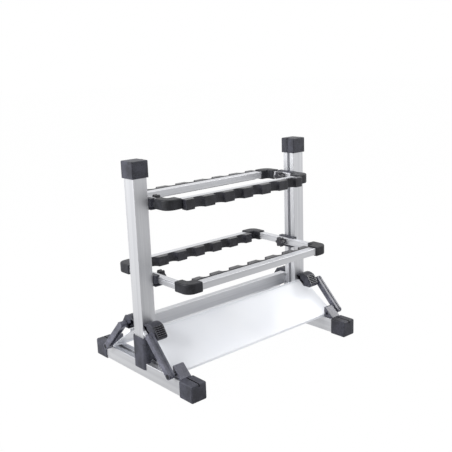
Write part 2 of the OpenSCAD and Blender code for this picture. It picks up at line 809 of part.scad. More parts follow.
end(true) strip(lower_level, lower_half, -1);  // lower_strip_rear
slide_bracket(lower_level);  // lower_slide_left
side(true) slide_bracket(lower_level);  // lower_slide_right
for (right = [false, true]) side(right) clamp_nut(lower_level);  // lower_slot_nuts
frame_screws(lower_level, lower_half);  // lower_screws
knob(lower_level);  // lower_knob_left
side(true) knob(lower_level);  // lower_knob_right
long_rail(upper_level, upper_half, 1);  // upper_rail_front
end(true) long_rail(upper_level, upper_half, 1);  // upper_rail_rear
end_tube(upper_level, upper_half);  // upper_end_left
side(true) end_tube(upper_level, upper_half);  // upper_end_right
for (right = [false, true], rear = [false, true]) side(right) end(rear) elbow(upper_level, upper_half);  // upper_elbows
strip(upper_level, upper_half, 1);  // upper_strip_front
end(true) strip(upper_level, upper_half, 1);  // upper_strip_rear
slide_bracket(upper_level);  // upper_slide_left
side(true) slide_bracket(upper_level);  // upper_slide_right
for (right = [false, true]) side(right) clamp_nut(upper_level);  // upper_slot_nuts
frame_screws(upper_level, upper_half);  // upper_screws
knob(upper_level);  // upper_knob_left
side(true) knob(upper_level);  // upper_knob_right
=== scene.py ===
import bpy
import bmesh
import numpy as np
from math import atan2, cos, hypot, radians, sin
from mathutils import Matrix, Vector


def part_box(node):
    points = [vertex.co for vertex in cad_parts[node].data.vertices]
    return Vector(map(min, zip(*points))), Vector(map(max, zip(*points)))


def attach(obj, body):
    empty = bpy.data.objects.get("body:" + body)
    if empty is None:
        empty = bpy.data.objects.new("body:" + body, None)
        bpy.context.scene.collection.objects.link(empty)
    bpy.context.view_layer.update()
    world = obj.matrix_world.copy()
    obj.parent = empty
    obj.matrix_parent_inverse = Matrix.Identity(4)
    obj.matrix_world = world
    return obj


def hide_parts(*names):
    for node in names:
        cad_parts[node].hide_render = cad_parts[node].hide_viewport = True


# Looks of a notched rack: two slotted uprights on foot rails, and two notched frames that slide on them.
# Sizes are in millimetres until a mesh is made, and X, Y and Z are those of the frame.

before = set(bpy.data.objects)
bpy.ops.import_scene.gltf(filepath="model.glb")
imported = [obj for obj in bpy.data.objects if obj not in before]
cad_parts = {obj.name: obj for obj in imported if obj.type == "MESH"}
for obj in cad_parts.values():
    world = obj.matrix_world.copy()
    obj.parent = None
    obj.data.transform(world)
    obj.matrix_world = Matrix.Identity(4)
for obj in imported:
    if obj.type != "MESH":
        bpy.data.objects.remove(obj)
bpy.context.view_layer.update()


# Materials: sizes across are in millimetres, depths in metres

def linearColour(hexCode):
    # sRGB hex to the linear colour that shader sockets take
    srgb = np.array([int(hexCode[i:i + 2], 16) for i in (1, 3, 5)]) / 255
    linear = np.where(srgb <= 0.04045, srgb / 12.92, ((srgb + 0.055) / 1.055) ** 2.4)
    return (*linear.tolist(), 1.0)


def addNode(tree, kind, settings=None, links=None):
    # One shader node: settings go to its sockets or its own options, links feed its sockets from other nodes
    node = tree.nodes.new(kind)
    for name, value in (settings or {}).items():
        if isinstance(name, int) or name in node.inputs:
            node.inputs[name].default_value = value
        else:
            setattr(node, name, value)
    for name, source in (links or {}).items():
        tree.links.new(source, node.inputs[name])
    return node


def emptyMaterial(name):
    material = bpy.data.materials.new(name)
    material.use_nodes = True
    material.node_tree.nodes.clear()
    return material, material.node_tree


def surfaced(material, settings, links):
    # The material's shader, fed by its patterns, and its output
    shader = addNode(material.node_tree, "ShaderNodeBsdfPrincipled", settings, links)
    addNode(material.node_tree, "ShaderNodeOutputMaterial", links={"Surface": shader.outputs[0]})
    print("material made:", material.name)
    return material


def scaleFor(spacing):
    # Texture scale at which a pattern's features lie this many millimetres apart
    return 1000.0 / spacing


aluminiumLook = {
    "tint": "#DCDDE0", "shade": "#CBCCD0",     # clear oxide over bright metal
    "roughness": (0.40, 0.56),
    "lineSpacing": 1.1,                        # die lines are 0.2 mm apart, drawn coarser to show
    "lineLength": 90,
    "bandSpacing": 6.0,                        # broader streaks, as the die and the etch leave them
    "lineShare": 0.65,                         # weight of the lines among the streaks
    "spread": (0.55, 1.15),                    # sums of the two that give the first and the second colour
    "lineDepth": 0.00004, "lineStrength": 0.35,
}


def anodisedAluminium(axis):
    # Extruded aluminium, etched and clear anodised: a soft satin sheen with faint lines along the extrusion
    look = aluminiumLook
    material, tree = emptyMaterial("extrudedClearAnodisedAluminium" + axis)
    place = addNode(tree, "ShaderNodeTexCoord").outputs["Object"]
    stretch = [1.0 if a != axis else look["lineSpacing"] / look["lineLength"] for a in "XYZ"]
    stretched = addNode(tree, "ShaderNodeMapping", {"Scale": stretch}, {"Vector": place}).outputs[0]
    lines = addNode(tree, "ShaderNodeTexNoise",
                    {"Scale": scaleFor(look["lineSpacing"]), "Detail": 3.0, "Roughness": 0.65},
                    {"Vector": stretched}).outputs["Fac"]
    bands = addNode(tree, "ShaderNodeTexNoise", {"Scale": scaleFor(look["bandSpacing"]), "Detail": 1.0},
                    {"Vector": stretched}).outputs["Fac"]
    shade = addNode(tree, "ShaderNodeMath", {"operation": "MULTIPLY_ADD", 1: look["lineShare"]},
                    {0: lines, 2: bands})
    spread = addNode(tree, "ShaderNodeMapRange",
                     {"From Min": look["spread"][0], "From Max": look["spread"][1]},
                     {"Value": shade.outputs[0]})
    colour = addNode(tree, "ShaderNodeMix",
                     {"data_type": "RGBA", 6: linearColour(look["tint"]), 7: linearColour(look["shade"])},
                     {0: spread.outputs[0]}).outputs[2]
    rough = addNode(tree, "ShaderNodeMapRange",
                    {"To Min": look["roughness"][0], "To Max": look["roughness"][1]}, {"Value": lines})
    bump = addNode(tree, "ShaderNodeBump", {"Strength": look["lineStrength"], "Distance": look["lineDepth"]},
                   {"Height": lines})
    return surfaced(material, {"Metallic": 1.0},
                    {"Base Color": colour, "Roughness": rough.outputs[0], "Normal": bump.outputs[0]})


plasticLook = {
    "grainSpacing": 2.0,                       # spark-eroded grain is about 0.3 mm, drawn coarser to show
    "grainDepth": 0.00014, "grainStrength": 0.5,
    "sheen": 0.38,                             # the grain scatters part of the shine
    "flowSize": 22,                            # pale clouds where the melt flowed
    "grainShare": 1.2,                         # weight of the grain among the clouds
    "spread": (0.90, 1.30),                    # sums of the two that give the dark and the pale colour
    "roughness": (0.42, 0.60),
}


def mouldedPlastic(name, dark, pale, roughness=plasticLook["roughness"], sheen=plasticLook["sheen"]):
    # Injection-moulded ABS with a spark-eroded grain: dark, dull, and soft in its highlights
    look = plasticLook
    material, tree = emptyMaterial(name)
    place = addNode(tree, "ShaderNodeTexCoord").outputs["Object"]
    grain = addNode(tree, "ShaderNodeTexNoise",
                    {"Scale": scaleFor(look["grainSpacing"]), "Detail": 4.0, "Roughness": 0.6},
                    {"Vector": place}).outputs["Fac"]
    flow = addNode(tree, "ShaderNodeTexNoise",
                   {"Scale": scaleFor(look["flowSize"]), "Detail": 3.0, "Distortion": 0.6},
                   {"Vector": place}).outputs["Fac"]
    both = addNode(tree, "ShaderNodeMath", {"operation": "MULTIPLY_ADD", 1: look["grainShare"]},
                   {0: grain, 2: flow})
    spread = addNode(tree, "ShaderNodeMapRange",
                     {"From Min": look["spread"][0], "From Max": look["spread"][1]},
                     {"Value": both.outputs[0]})
    colour = addNode(tree, "ShaderNodeMix",
                     {"data_type": "RGBA", 6: linearColour(dark), 7: linearColour(pale)},
                     {0: spread.outputs[0]}).outputs[2]
    rough = addNode(tree, "ShaderNodeMapRange", {"To Min": roughness[0], "To Max": roughness[1]},
                    {"Value": grain})
    bump = addNode(tree, "ShaderNodeBump",
                   {"Strength": look["grainStrength"], "Distance": look["grainDepth"]}, {"Height": grain})
    return surfaced(material, {"IOR": 1.53, "Specular IOR Level": sheen},
                    {"Base Color": colour, "Roughness": rough.outputs[0], "Normal": bump.outputs[0]})


sheetLook = {
    "white": "#F7F9FD", "shade": "#EEF1F8", "cloudSize": 70,
    "peelSize": 3.0, "peelDepth": 0.00005,     # the baked powder's orange peel
    "peelStrength": 0.4,
    "roughness": 0.34, "coat": 0.5, "coatRoughness": 0.26,
}


def powderCoatedSheet():
    # Steel sheet, powder coated: glossy cool white with the shallow orange peel of baked powder
    look = sheetLook
    material, tree = emptyMaterial("powderCoatedSteelSheet")
    place = addNode(tree, "ShaderNodeTexCoord").outputs["Object"]
    peel = addNode(tree, "ShaderNodeTexNoise", {"Scale": scaleFor(look["peelSize"]), "Detail": 1.5},
                   {"Vector": place}).outputs["Fac"]
    clouds = addNode(tree, "ShaderNodeTexNoise", {"Scale": scaleFor(look["cloudSize"]), "Detail": 2.0},
                     {"Vector": place}).outputs["Fac"]
    colour = addNode(tree, "ShaderNodeMix",
                     {"data_type": "RGBA", 6: linearColour(look["white"]), 7: linearColour(look["shade"])},
                     {0: clouds}).outputs[2]
    bump = addNode(tree, "ShaderNodeBump", {"Strength": look["peelStrength"], "Distance": look["peelDepth"]},
                   {"Height": peel})
    return surfaced(material, {"Roughness": look["roughness"], "IOR": 1.5, "Coat Weight": look["coat"],
                               "Coat Roughness": look["coatRoughness"]},
                    {"Base Color": colour, "Normal": bump.outputs[0]})


steelLook = {"spangle": 2.5, "roughness": (0.28, 0.45)}


def turnedSteel(name, bright, dull):
    # Turned steel with a thin finish: metal with faint blotches where the finish took unevenly
    look = steelLook
    material, tree = emptyMaterial(name)
    place = addNode(tree, "ShaderNodeTexCoord").outputs["Object"]
    blotch = addNode(tree, "ShaderNodeTexNoise", {"Scale": scaleFor(look["spangle"]), "Detail": 3.0},
                     {"Vector": place}).outputs["Fac"]
    colour = addNode(tree, "ShaderNodeMix",
                     {"data_type": "RGBA", 6: linearColour(bright), 7: linearColour(dull)},
                     {0: blotch}).outputs[2]
    rough = addNode(tree, "ShaderNodeMapRange",
                    {"To Min": look["roughness"][0], "To Max": look["roughness"][1]}, {"Value": blotch})
    return surfaced(material, {"Metallic": 1.0}, {"Base Color": colour, "Roughness": rough.outputs[0]})


aluminium = {axis: anodisedAluminium(axis) for axis in "XYZ"}
charcoalAbs = mouldedPlastic("mouldedCharcoalAbs", "#23242B", "#3F404B")                      # caps, latches
slateAbs = mouldedPlastic("mouldedSlateAbs", "#3F404B", "#5F606D", (0.26, 0.38), 0.52)        # braces, blocks
deepBlackAbs = mouldedPlastic("mouldedBlackAbs", "#111216", "#27282E", sheen=0.33)            # elbows
softBlackAbs = mouldedPlastic("polishedBlackAbs", "#1B1B1F", "#34343B", (0.26, 0.38))         # strips, knobs
thumbWornAbs = mouldedPlastic("thumbPolishedAbs", "#23242B", "#3F404B", (0.22, 0.32), 0.85)   # crests of ribs
# Painted shade: a near-black, dull copy of the plastic on the caps' grooves and the latch's rib valleys, in
# place of the shade that falls in them
recessShadeBlackAbs = mouldedPlastic("paintedRecessShadeAbs", "#040405", "#0B0B0D", (0.70, 0.85), 0.05)  # sunk faces
whiteSheet = powderCoatedSheet()
zincSteel = turnedSteel("zincPlatedTurnedSteel", "#B7B9BC", "#8B8D92")
blackSteel = turnedSteel("blackOxideTurnedSteel", "#4A4B4F", "#34353A")


# Shapes: a part is (points, faces), its points in millimetres

def roundedOutline(points, radii, steps=6):
    # Corner points with each corner turned into an arc: the arc's centre lies on the corner's bisector,
    # radius / sin(half angle) away, and its ends are radius / tan(half angle) back along the two sides
    points = np.array(points, float)
    radii = np.broadcast_to(np.array(radii, float), len(points))[:, None]
    back = np.roll(points, 1, 0) - points
    ahead = np.roll(points, -1, 0) - points
    back /= np.linalg.norm(back, axis=1)[:, None]
    ahead /= np.linalg.norm(ahead, axis=1)[:, None]
    half = np.arccos(np.clip((back * ahead).sum(1), -1, 1))[:, None] / 2
    bisector = back + ahead
    bisector /= np.maximum(np.linalg.norm(bisector, axis=1)[:, None], 1e-9)
    centre = points + bisector * radii / np.sin(half)
    start = points + back * radii / np.tan(half) - centre
    end = points + ahead * radii / np.tan(half) - centre
    turn = np.arctan2(start[:, :1] * end[:, 1:] - start[:, 1:] * end[:, :1], (start * end).sum(1)[:, None])
    angle = np.arctan2(start[:, 1:], start[:, :1]) + turn * np.linspace(0, 1, steps + 1)[None]
    arcs = centre[:, None] + radii[:, :, None] * np.stack([np.cos(angle), np.sin(angle)], 2)
    line = arcs.reshape(-1, 2)
    kept = np.linalg.norm(line - np.roll(line, 1, 0), axis=1) > 1e-4
    line = line[kept]
    area = (line[:, 0] * np.roll(line[:, 1], -1) - line[:, 1] * np.roll(line[:, 0], -1)).sum()
    return line if area > 0 else line[::-1]


def circleOutline(radius, count=32):
    # radius * (cos a, sin a), with a once round
    angle = np.linspace(0, 2 * np.pi, count, endpoint=False)
    return radius * np.stack([np.cos(angle), np.sin(angle)], 1)


def roundedEnds(low, high, radius, steps=4):
    # Stations of a straight sweep whose two ends are rounded: inset = r (1 - sin t), height = r (1 - cos t)
    t = np.linspace(0, np.pi / 2, steps + 1)
    inset, rise = radius * (1 - np.sin(t)), radius * (1 - np.cos(t))
    return [*zip(low + rise, inset), *zip(high - rise[::-1], inset[::-1])]


def sweptSolid(outline, stations):
    # The outline stacked at each station's height, moved inward there by the station's inset:
    # a point goes inset * (n1 + n2) / (1 + n1.n2) along the inward normals of its two sides
    side = np.roll(outline, -1, 0) - outline
    side /= np.linalg.norm(side, axis=1)[:, None]
    inward = np.stack([-side[:, 1], side[:, 0]], 1)
    before = np.roll(inward, 1, 0)
    mitre = (inward + before) / np.maximum(1 + (inward * before).sum(1), 0.2)[:, None]
    height, inset = np.array(stations, float).T
    rings = outline[None] + inset[:, None, None] * mitre[None]
    points = np.concatenate([rings, np.broadcast_to(height[:, None, None], rings.shape[:2] + (1,))], 2)
    count, around = rings.shape[:2]
    index = np.arange(count * around).reshape(count, around)
    after = np.roll(index, -1, 1)
    quads = np.stack([index[:-1], after[:-1], after[1:], index[1:]], 2).reshape(-1, 4).tolist()
    return points.reshape(-1, 3), quads + [index[0, ::-1].tolist(), index[-1].tolist()]


def turnedSolid(path, count=40):
    # A path of (radius, height) pairs carried round the height axis, closed at both ends by a disc
    radius, height = np.array(path, float).T
    angle = np.linspace(0, 2 * np.pi, count, endpoint=False)
    points = np.stack([radius[:, None] * np.cos(angle), radius[:, None] * np.sin(angle),
                       np.broadcast_to(height[:, None], (len(radius), count))], 2)
    index = np.arange(points.shape[0] * count).reshape(-1, count)
    after = np.roll(index, -1, 1)
    quads = np.stack([index[:-1], after[:-1], after[1:], index[1:]], 2).reshape(-1, 4).tolist()
    return points.reshape(-1, 3), quads + [index[0, ::-1].tolist(), index[-1].tolist()]


def reliefPad(width, length, height, depth, columns, rows):
    # A block whose top is the surface z = height(u, v) over a rectangle, with walls down to -depth
    u, v = np.meshgrid(np.linspace(0, width, columns), np.linspace(0, length, rows))
    z = height(u, v)
    top = np.stack([u, v, z], 2)
    index = np.arange(rows * columns).reshape(rows, columns)
    quads = np.stack([index[:-1, :-1], index[:-1, 1:], index[1:, 1:], index[1:, :-1]], 2).reshape(-1, 4)
    rim = np.concatenate([index[0, :-1], index[:-1, -1], index[-1, :0:-1], index[:0:-1, 0]])
    points = top.reshape(-1, 3)
    foot = points[rim] * (1, 1, 0) - (0, 0, depth)
    below = np.arange(len(rim)) + rows * columns
    walls = np.stack([rim, below, np.roll(below, -1), np.roll(rim, -1)], 1)
    faces = quads.tolist() + walls.tolist() + [below.tolist()]
    return np.concatenate([points, foot]), faces


def laid(part, axes, origin=(0, 0, 0)):
    # Puts the part's three directions on the named axes and moves it to the origin given
    points, faces = part
    out = np.empty_like(points)
    out[:, ["xyz".index(a) for a in axes]] = points
    return out + np.array(origin, float), faces


def mirrored(part, right=False, rear=False):
    # x changes its sign on the right, and y at the rear; finished() turns the faces outwards again
    points, faces = part
    return points * (-1 if right else 1, -1 if rear else 1, 1), faces


def joined(parts):
    # Parts as one: each part's faces count on from the points before it
    first = np.cumsum([0] + [len(points) for points, faces in parts])
    faces = [[i + start for i in face] for (points, group), start in zip(parts, first) for face in group]
    return np.concatenate([points for points, group in parts]), faces


corners = {"front_left": (False, False), "front_right": (True, False),
           "rear_left": (False, True), "rear_right": (True, True)}
sides = {"left": False, "right": True}
ends = {"front": False, "rear": True}


def nodeBox(node):
    # Lowest and highest corner of a CAD node, in millimetres
    low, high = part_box(node)
    return np.array(low) * 1000, np.array(high) * 1000


def meshPoints(mesh):
    # All of a mesh's points at once, in its own unit
    points = np.empty((len(mesh.vertices), 3), np.float32)
    mesh.vertices.foreach_get("co", points.ravel())
    return points.astype(float)


meshFinish = {"crease": 38, "flat": 2, "moulded": 35, "edgeSteps": 3}    # degrees, and faces across an edge


def finished(mesh, name, material, body, nodes):
    # Normals outwards, smooth faces, its material, and its place in the frame
    shell = bmesh.new()
    shell.from_mesh(mesh)
    bmesh.ops.remove_doubles(shell, verts=shell.verts, dist=1e-6)
    bmesh.ops.recalc_face_normals(shell, faces=shell.faces)
    shell.to_mesh(mesh)
    shell.free()
    mesh.shade_smooth()
    if mesh.materials:
        mesh.materials.clear()
    mesh.materials.append(material)
    piece = bpy.data.objects.new(name, mesh)
    bpy.context.scene.collection.objects.link(piece)
    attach(piece, body)
    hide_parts(*nodes)
    return piece


def weighted(piece):
    # Normals weighted by face size, so that flat faces shade flat beside rounded edges
    piece.data.set_sharp_from_angle(angle=radians(meshFinish["crease"]))
    shading = piece.modifiers.new("flatFacesStayFlat", "WEIGHTED_NORMAL")
    shading.keep_sharp = True
    return piece


def makePiece(name, part, material, body, slot, *nodes, inlays=()):
    # An inlay is (faces, material): those faces take that material instead
    points, faces = part
    mesh = bpy.data.meshes.new(name)
    mesh.from_pydata((points / 1000).tolist(), [], faces)
    slots = np.zeros(len(faces), int)
    for index, (chosen, other) in enumerate(inlays, 1):
        slots[chosen] = index
    mesh.polygons.foreach_set("material_index", slots)
    piece = finished(mesh, name, material, body, nodes)
    for chosen, other in inlays:
        mesh.materials.append(other)
    return weighted(piece)


def softened(name, node, material, body, edge):
    # A copy of a CAD node's mesh, merged into its flat faces, with its edges rounded
    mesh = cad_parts[node].data.copy()
    mesh.name = name
    shell = bmesh.new()
    shell.from_mesh(mesh)
    bmesh.ops.remove_doubles(shell, verts=shell.verts, dist=1e-5)
    bmesh.ops.dissolve_limit(shell, angle_limit=radians(meshFinish["flat"]), verts=shell.verts,
                             edges=shell.edges)
    shell.to_mesh(mesh)
    shell.free()
    piece = finished(mesh, name, material, body, [node])
    rounding = piece.modifiers.new("moulderEdge", "BEVEL")
    rounding.width = edge / 1000
    rounding.segments = meshFinish["edgeSteps"]
    rounding.limit_method = "ANGLE"
    rounding.angle_limit = radians(meshFinish["moulded"])
    rounding.use_clamp_overlap = True
    return weighted(piece)


# Profile: foot rails and uprights

profile = {"side": 32.0, "corner": 1.2, "mouth": 8.0, "lip": 2.0, "room": 14.0, "roomDepth": 6.0,
           "mouthCorner": 0.5, "endEdge": 0.4}


def slotOutline():
    # Square with a T-slot open at its top side
    half, mouth, room = profile["side"] / 2, profile["mouth"] / 2, profile["room"] / 2
    lip = half - profile["lip"]
    floor = lip - profile["roomDepth"]
    points = [(-half, -half), (half, -half), (half, half), (mouth, half), (mouth, lip), (room, lip),
              (room, floor), (-room, floor), (-room, lip), (-mouth, lip), (-mouth, half), (-half, half)]
    edge, inner = profile["corner"], profile["mouthCorner"]
    return roundedOutline(points, [edge, edge, edge] + [inner] * 8 + [edge])


def makeProfiles():
    outline = slotOutline()
    low, high = nodeBox("rail_left")
    middle = (low + high) / 2
    rail = sweptSolid(outline, roundedEnds(low[1], high[1], profile["endEdge"]))
    rail = laid(rail, "xzy", (middle[0], 0, middle[2]))
    low, high = nodeBox("upright_left")
    upright = sweptSolid(outline, roundedEnds(low[2], high[2], profile["endEdge"]))
    upright = laid(upright, "yxz", (middle[0], 0, 0))
    for name, right in sides.items():
        makePiece("footRail_" + name, mirrored(rail, right), aluminium["Y"], "root", "aluminium",
                  "rail_" + name)
        makePiece("upright_" + name, mirrored(upright, right), aluminium["Z"], "root", "aluminium",
                  "upright_" + name)
    print("foot rails and uprights made")


# Caps on the feet and the uprights, each a hollow shell with a grooved face

capShape = {
    "bevel": 3.4, "frontEdge": 3.0, "wall": 2.1,                          # foot caps
    "corner": 2.9, "topEdge": 1.8, "skin": 3.25,                          # top caps
    "rimEdge": 0.4, "base": 3.0,
    "groove": 2.4, "grooveDepth": 1.8, "grooveDrop": 5.5, "grooveWall": 0.1,
    "notch": 3.0, "notchDepth": 1.2, "notchLip": 0.3, "notchFloor": 0.2,
}


def rectangleOutline(width, height, corner):
    # Rectangle about the origin with round corners
    x, y = width / 2, height / 2
    return roundedOutline([(-x, -y), (x, -y), (x, y), (-x, y)], corner)


def grooved(part, middle, low):
    # The strip of outer skin within half a groove of the middle plane, and above the given height, goes
    # inwards along its normals by the groove's depth
    points, faces = part
    mesh = bpy.data.meshes.new("grooving")
    mesh.from_pydata(points.tolist(), [], faces)
    shell = bmesh.new()
    shell.from_mesh(mesh)
    half = capShape["groove"] / 2
    cuts = [((middle - half, 0, 0), (1, 0, 0)), ((middle + half, 0, 0), (1, 0, 0)), ((0, 0, low), (0, 0, 1))]
    for place, across in cuts:
        everything = [*shell.verts, *shell.edges, *shell.faces]
        bmesh.ops.bisect_plane(shell, geom=everything, plane_co=place, plane_no=across)
    bmesh.ops.recalc_face_normals(shell, faces=shell.faces)

    def outside(face):
        # In the strip, and facing up or forwards on the outer skin
        centre = face.calc_center_median()
        upOrForward = face.normal.z > 0.1 or face.normal.y < -0.1
        return abs(centre.x - middle) < half and centre.z > low and upOrForward and face.normal.y < 0.3

    strip = [face for face in shell.faces if outside(face)]
    walls = bmesh.ops.inset_region(shell, faces=strip, thickness=capShape["grooveWall"],
                                   depth=-capShape["grooveDepth"])["faces"]
    shell.faces.index_update()
    sunk = [f.index for f in [*strip, *walls]]
    shell.to_mesh(mesh)
    shell.free()
    return (meshPoints(mesh), [list(f.vertices) for f in mesh.polygons]), sunk


def notched(width, height):
    # Rectangle about the origin with a notch in the middle of its top side
    look = capShape
    x, y, half, depth = width / 2, height / 2, look["notch"] / 2, look["notchDepth"]
    points = [(-x, -y), (x, -y), (x, y), (half, y), (half, y - depth), (-half, y - depth), (-half, y),
              (-x, y)]
    corner, lip, floor = look["corner"], look["notchLip"], look["notchFloor"]
    return roundedOutline(points, [corner, corner, corner, lip, floor, floor, lip, corner])


def makeCaps():
    # Each shell runs down the outside, round the rim and back up the inside; its outer edge is rounded by
    # inset = r (1 - sin t), height = r (1 - cos t)
    look = capShape
    low, high = nodeBox("foot_cap_front_left")
    size = high - low
    outline = rectangleOutline(size[0], size[2], look["bevel"])
    t = np.linspace(0, np.pi / 2, 5)
    front = zip(low[1] + look["frontEdge"] * (1 - np.cos(t)), look["frontEdge"] * (1 - np.sin(t)))
    shell = [*front, (high[1] - look["rimEdge"], 0), (high[1], look["rimEdge"]), (high[1], look["wall"]),
             (low[1] + look["base"], look["wall"])]
    centre = (low + high) / 2
    cap = laid(sweptSolid(outline, shell), "xzy", (centre[0], 0, centre[2]))
    cap, sunk = grooved(cap, centre[0], high[2] - look["grooveDrop"])
    for corner, (right, rear) in corners.items():
        # The groove's faces take the near-black painted shade
        makePiece("footCap_" + corner, mirrored(cap, right, rear), charcoalAbs, "root", "black_plastic",
                  "foot_cap_" + corner, inlays=[(sunk, recessShadeBlackAbs)])
    low, high = nodeBox("top_cap_left")
    size = high - low
    outline = notched(size[1], size[0])
    crown = zip(high[2] - look["topEdge"] * (1 - np.cos(t[::-1])), look["topEdge"] * (1 - np.sin(t[::-1])))
    shell = [(high[2] - look["base"], look["skin"]), (low[2], look["skin"]), (low[2], look["rimEdge"]),
             (low[2] + look["rimEdge"], 0), *crown]
    centre = (low + high) / 2
    cap = laid(sweptSolid(outline, shell), "yxz", (centre[0], centre[1], 0))
    for name, right in sides.items():
        makePiece("topCap_" + name, mirrored(cap, right), charcoalAbs, "root", "black_plastic",
                  "top_cap_" + name)
    print("foot caps and top caps made")


# Base: crossbeam, butt plates, brackets and catches

plateShape = {"sheet": 1.5, "edge": 0.35, "outerBend": 2.6, "innerBend": 1.1, "hemBend": 2.0}
beamShape = {"corner": 1.2, "endEdge": 0.3}
baseEdges = {"bracket": 0.8, "plug": 0.4, "catch": 0.6}


def foldedPlate(node, rear):
    # Side view of the sheet, read from the CAD node: a lip on the rail, the slope, and a hem, joined by
    # round bends
    points = meshPoints(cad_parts[node].data) * 1000
    low, high = nodeBox(node)
    flip = -1 if rear else 1
    near = points[np.abs(points[:, 0] - low[0]) < 0.01][:, 1:] * (flip, 1)
    near = np.unique(near.round(3), axis=0)
    foot, back = near[:, 0].min(), near[:, 0].max()
    bottom, top = near[:, 1].min(), near[:, 1].max()
    sheet = plateShape["sheet"]

    def only(y, skip):
        # The bend's height at this y: the one farthest from the sheet's own end
        heights = near[np.abs(near[:, 0] - y) < 0.02][:, 1]
        return heights[np.argmax(np.abs(heights - skip))]

    line = [(foot, bottom), (foot, only(foot, bottom)),
            (back - sheet, only(back - sheet, top)), (back - sheet, top),
            (back, top), (back, only(back, top)),
            (foot + sheet, only(foot + sheet, bottom)), (foot + sheet, bottom)]
    look = plateShape
    bends = [0, look["outerBend"], look["innerBend"], 0, 0, look["hemBend"], look["innerBend"], 0]
    outline = roundedOutline(line, bends)
    part = sweptSolid(outline, roundedEnds(low[0], high[0], look["edge"]))
    return mirrored(laid(part, "yzx"), rear=rear)


def makeBase():
    low, high = nodeBox("crossbeam")
    outline = rectangleOutline(*(high - low)[1:], beamShape["corner"])
    middle = (low + high) / 2
    beam = sweptSolid(outline, roundedEnds(low[0], high[0], beamShape["endEdge"]))
    beam = laid(beam, "yzx", (0, *middle[1:]))
    makePiece("crossbeam", beam, aluminium["X"], "root", "aluminium", "crossbeam")
    for name, rear in ends.items():
        makePiece("buttPlate_" + name, foldedPlate("butt_plate_" + name, rear), whiteSheet, "root",
                  "white_sheet", "butt_plate_" + name)
    for name in sides:
        softened("baseBracket_" + name, "base_bracket_" + name, charcoalAbs, "root",
                 baseEdges["bracket"])
        softened("beamPlug_" + name, "beam_plug_" + name, aluminium["Z"], "root",
                 baseEdges["plug"])
    softened("latchCatches", "latch_catches", charcoalAbs, "root", baseEdges["catch"])
    print("crossbeam, plates, brackets and catches made")


# Braces: foot blocks, channel bars and ribbed latches

braceShape = {
    "barEdge": 0.7,
    "blockEdge": 1.3, "blockLip": 2.8, "blockTop": 3.5, "blockSunk": 1.0,
    "blockCorners": (0.2, 0.2, 1.0, 1.6, 0.6),
    "latchEdge": 1.4, "anchor": (17.9, -19.0),
    "beakCentre": (10.5, -6.0), "beakRadius": 25.0, "beakTip": 28.9,
    "heel": -12.5, "chin": -11.1, "hookStart": 8.0, "hookRoof": -1.0, "hookEnd": 18.1, "hookTop": 10.3,
    "hookCorners": (2.5, 0.8, 0.4, 0.6, 0.4, 0.2), "beakCorner": 0.1, "padCorners": (0.6, 1.8),
    "padLow": (-17.9, -5.5), "padHigh": (-4.86, 13.7), "padSunk": 0.9, "padGrid": (57, 97),
    "padMargin": 2.4, "padPast": 6.5, "padRelief": 1.7, "padRim": 1.3, "rimRise": 1.15,
    "ribs": 6, "ribPower": 0.6, "ribsAcross": 4, "nickDepth": 0.35, "nickWidth": 0.25,
    "crestFrom": 0.78, "valleyTo": 0.7,        # shares of the relief
}


def latchOutline():
    # Side view about the anchor: heel and chin, the hook over the catch, the beak's arc, which is
    # centre + r (cos t, sin t), and the straight face that the pad is sunk in
    look = braceShape
    (cy, cz), r, tip = look["beakCentre"], look["beakRadius"], look["beakTip"]
    (y0, z0), (y1, z1) = look["padLow"], look["padHigh"]
    start = atan2((r * r - (tip - cy) ** 2) ** 0.5, tip - cy)
    count = 26
    t = np.linspace(start, atan2(z1 - cz, y1 - cy), count)
    arc = np.stack([cy + r * np.cos(t), cz + r * np.sin(t)], 1)
    length = hypot(y1 - y0, z1 - z0)
    sunk = np.array([z1 - z0, y0 - y1]) / length * look["padSunk"]
    fixed = [(look["heel"], look["chin"]), (look["hookStart"], look["chin"]),
             (look["hookStart"], look["hookRoof"]), (look["hookEnd"], look["hookRoof"]),
             (look["hookEnd"], look["hookTop"]), (tip, look["hookTop"])]
    points = np.array(fixed + arc.tolist() + [(y0 + sunk[0], z0 + sunk[1])])
    points[-2] += sunk
    radii = [*look["hookCorners"], look["beakCorner"], *[0] * (count - 2), *look["padCorners"]]
    return roundedOutline(points, radii, 5)


